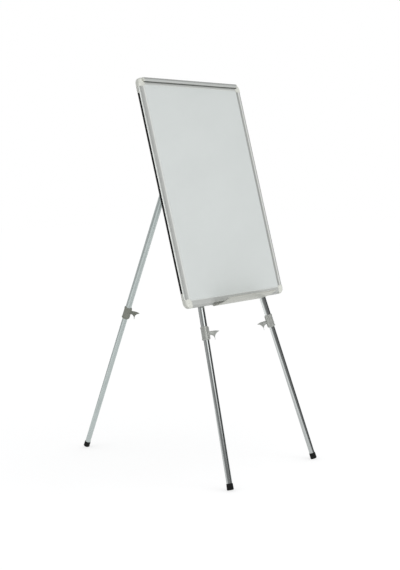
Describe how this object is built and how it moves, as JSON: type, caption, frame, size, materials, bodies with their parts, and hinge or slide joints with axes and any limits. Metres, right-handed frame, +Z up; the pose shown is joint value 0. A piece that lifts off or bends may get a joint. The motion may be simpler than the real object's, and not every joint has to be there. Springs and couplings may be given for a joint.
{
  "type": "whiteboard easel",
  "caption": "Framed magnetic writing board with a sprung pad clamp and a pen tray, on a folding tripod of telescopic legs locked by wing screws.",
  "frame": {"origin": "on the floor in the middle plane, halfway between the foremost and rearmost edges of the feet", "axes": "+Z up, +Y to the back of the board, +X to the right of a reader who faces the board"},
  "size_m": [0.7006, 1.1872, 1.7413],
  "materials": {
    "black_rubber": "moulded",
    "black_strip": "black extruded",
    "bush_plastic": "natural nylon",
    "cap_plastic": "light grey moulded",
    "chromed_tube": "bright chrome",
    "clamp_aluminium": "satin anodised",
    "collar_plastic": "grey moulded",
    "core_board": "pressed fibre board",
    "galvanised_sheet": "galvanised",
    "lacquered_steel": "white lacquer",
    "painted_steel": "grey powder coat",
    "plated_steel": "zinc plated",
    "rail_aluminium": "satin anodised",
    "satin_tube": "satin nickel",
    "tray_aluminium": "satin anodised"
  },
  "bodies": {
    "board": {"back_sheet": "galvanised_sheet", "clamp_bracket_left": "cap_plastic", "clamp_bracket_right": "cap_plastic", "clamp_rod": "plated_steel", "clamp_springs": "plated_steel", "corner_cap_bottom_left": "cap_plastic", "corner_cap_bottom_right": "cap_plastic", "corner_cap_screws": "plated_steel", "corner_cap_top_left": "cap_plastic", "corner_cap_top_right": "cap_plastic", "frame_rail_bottom": "rail_aluminium", "frame_rail_left": "rail_aluminium", "frame_rail_right": "rail_aluminium", "frame_rail_top": "rail_aluminium", "front_pivot_bolts": "plated_steel", "head_plate": "painted_steel", "head_plate_screws": "plated_steel", "head_plate_spacers": "collar_plastic", "hinge_rivets": "plated_steel", "leg_catch_left": "collar_plastic", "leg_catch_right": "collar_plastic", "leg_catch_screws": "plated_steel", "panel_core": "core_board", "pen_tray": "tray_aluminium", "pen_tray_screws": "plated_steel", "pivot_nuts": "plated_steel", "pivot_spacers": "collar_plastic", "rear_hinge_bracket": "painted_steel", "rear_pivot_bolt": "plated_steel", "rear_stop_pin": "plated_steel", "side_strip_left": "black_strip", "side_strip_right": "black_strip", "writing_sheet": "lacquered_steel"},
    "front_left_upper_leg": {"front_left_upper_tube": "chromed_tube", "front_left_top_fitting": "collar_plastic", "front_left_clamp_collar": "collar_plastic"},
    "front_left_lower_leg": {"front_left_lower_tube": "chromed_tube", "front_left_slide_bush": "bush_plastic", "front_left_foot": "black_rubber"},
    "front_left_wing_screw": {"front_left_clamp_screw": "plated_steel", "front_left_wing_knob": "collar_plastic"},
    "front_right_upper_leg": {"front_right_upper_tube": "chromed_tube", "front_right_top_fitting": "collar_plastic", "front_right_clamp_collar": "collar_plastic"},
    "front_right_lower_leg": {"front_right_lower_tube": "chromed_tube", "front_right_slide_bush": "bush_plastic", "front_right_foot": "black_rubber"},
    "front_right_wing_screw": {"front_right_clamp_screw": "plated_steel", "front_right_wing_knob": "collar_plastic"},
    "rear_upper_leg": {"rear_upper_tube": "satin_tube", "rear_top_fitting": "collar_plastic", "rear_clamp_collar": "collar_plastic"},
    "rear_lower_leg": {"rear_lower_tube": "satin_tube", "rear_slide_bush": "bush_plastic", "rear_foot": "black_rubber"},
    "rear_wing_screw": {"rear_clamp_screw": "plated_steel", "rear_wing_knob": "collar_plastic"},
    "clamp_bar": {"clamp_bar": "clamp_aluminium", "clamp_jaw_strip": "black_rubber"}
  },
  "joints": [
    {"name": "clamp_bar_hinge", "type": "hinge", "parent": "board", "child": "clamp_bar", "pos_m": [0, -0.2086, 1.73661], "axis": [-1, 0, 0], "range_deg": [0, 35], "stiffness_Nm_per_rad": 0.4, "springref_deg": -34.38},
    {"name": "front_left_leg_swing", "type": "hinge", "parent": "board", "child": "front_left_upper_leg", "pos_m": [-0.121, -0.17776, 1.58187], "axis": [0, -0.969, 0.2469], "range_deg": [0, 6.7]},
    {"name": "front_left_leg_slide", "type": "slide", "parent": "front_left_upper_leg", "child": "front_left_lower_leg", "axis": [0.1168, 0.2452, 0.9624], "range_m": [-0.05, 0.61]},
    {"name": "front_left_screw_turn", "type": "hinge", "parent": "front_left_upper_leg", "child": "front_left_wing_screw", "pos_m": [-0.2348, -0.41669, 0.64401], "axis": [0.5838, -0.8009, 0.1332], "range_deg": [0, 360]},
    {"name": "front_right_leg_swing", "type": "hinge", "parent": "board", "child": "front_right_upper_leg", "pos_m": [0.121, -0.17776, 1.58187], "axis": [0, 0.969, -0.2469], "range_deg": [0, 6.7]},
    {"name": "front_right_leg_slide", "type": "slide", "parent": "front_right_upper_leg", "child": "front_right_lower_leg", "axis": [-0.1168, 0.2452, 0.9624], "range_m": [-0.05, 0.61]},
    {"name": "front_right_screw_turn", "type": "hinge", "parent": "front_right_upper_leg", "child": "front_right_wing_screw", "pos_m": [0.2348, -0.41669, 0.64401], "axis": [-0.5838, 0.767, -0.2662], "range_deg": [0, 360]},
    {"name": "rear_leg_fold", "type": "hinge", "parent": "board", "child": "rear_upper_leg", "pos_m": [0, -0.17343, 1.60139], "axis": [-1, 0, 0], "range_deg": [0, 37.5]},
    {"name": "rear_leg_slide", "type": "slide", "parent": "rear_upper_leg", "child": "rear_lower_leg", "axis": [0, -0.4274, 0.9041], "range_m": [-0.05, 0.695]},
    {"name": "rear_screw_turn", "type": "hinge", "parent": "rear_upper_leg", "child": "rear_wing_screw", "pos_m": [0, 0.25649, 0.69188], "axis": [0.766, -0.5811, -0.2747], "range_deg": [0, 360]}
  ]
}
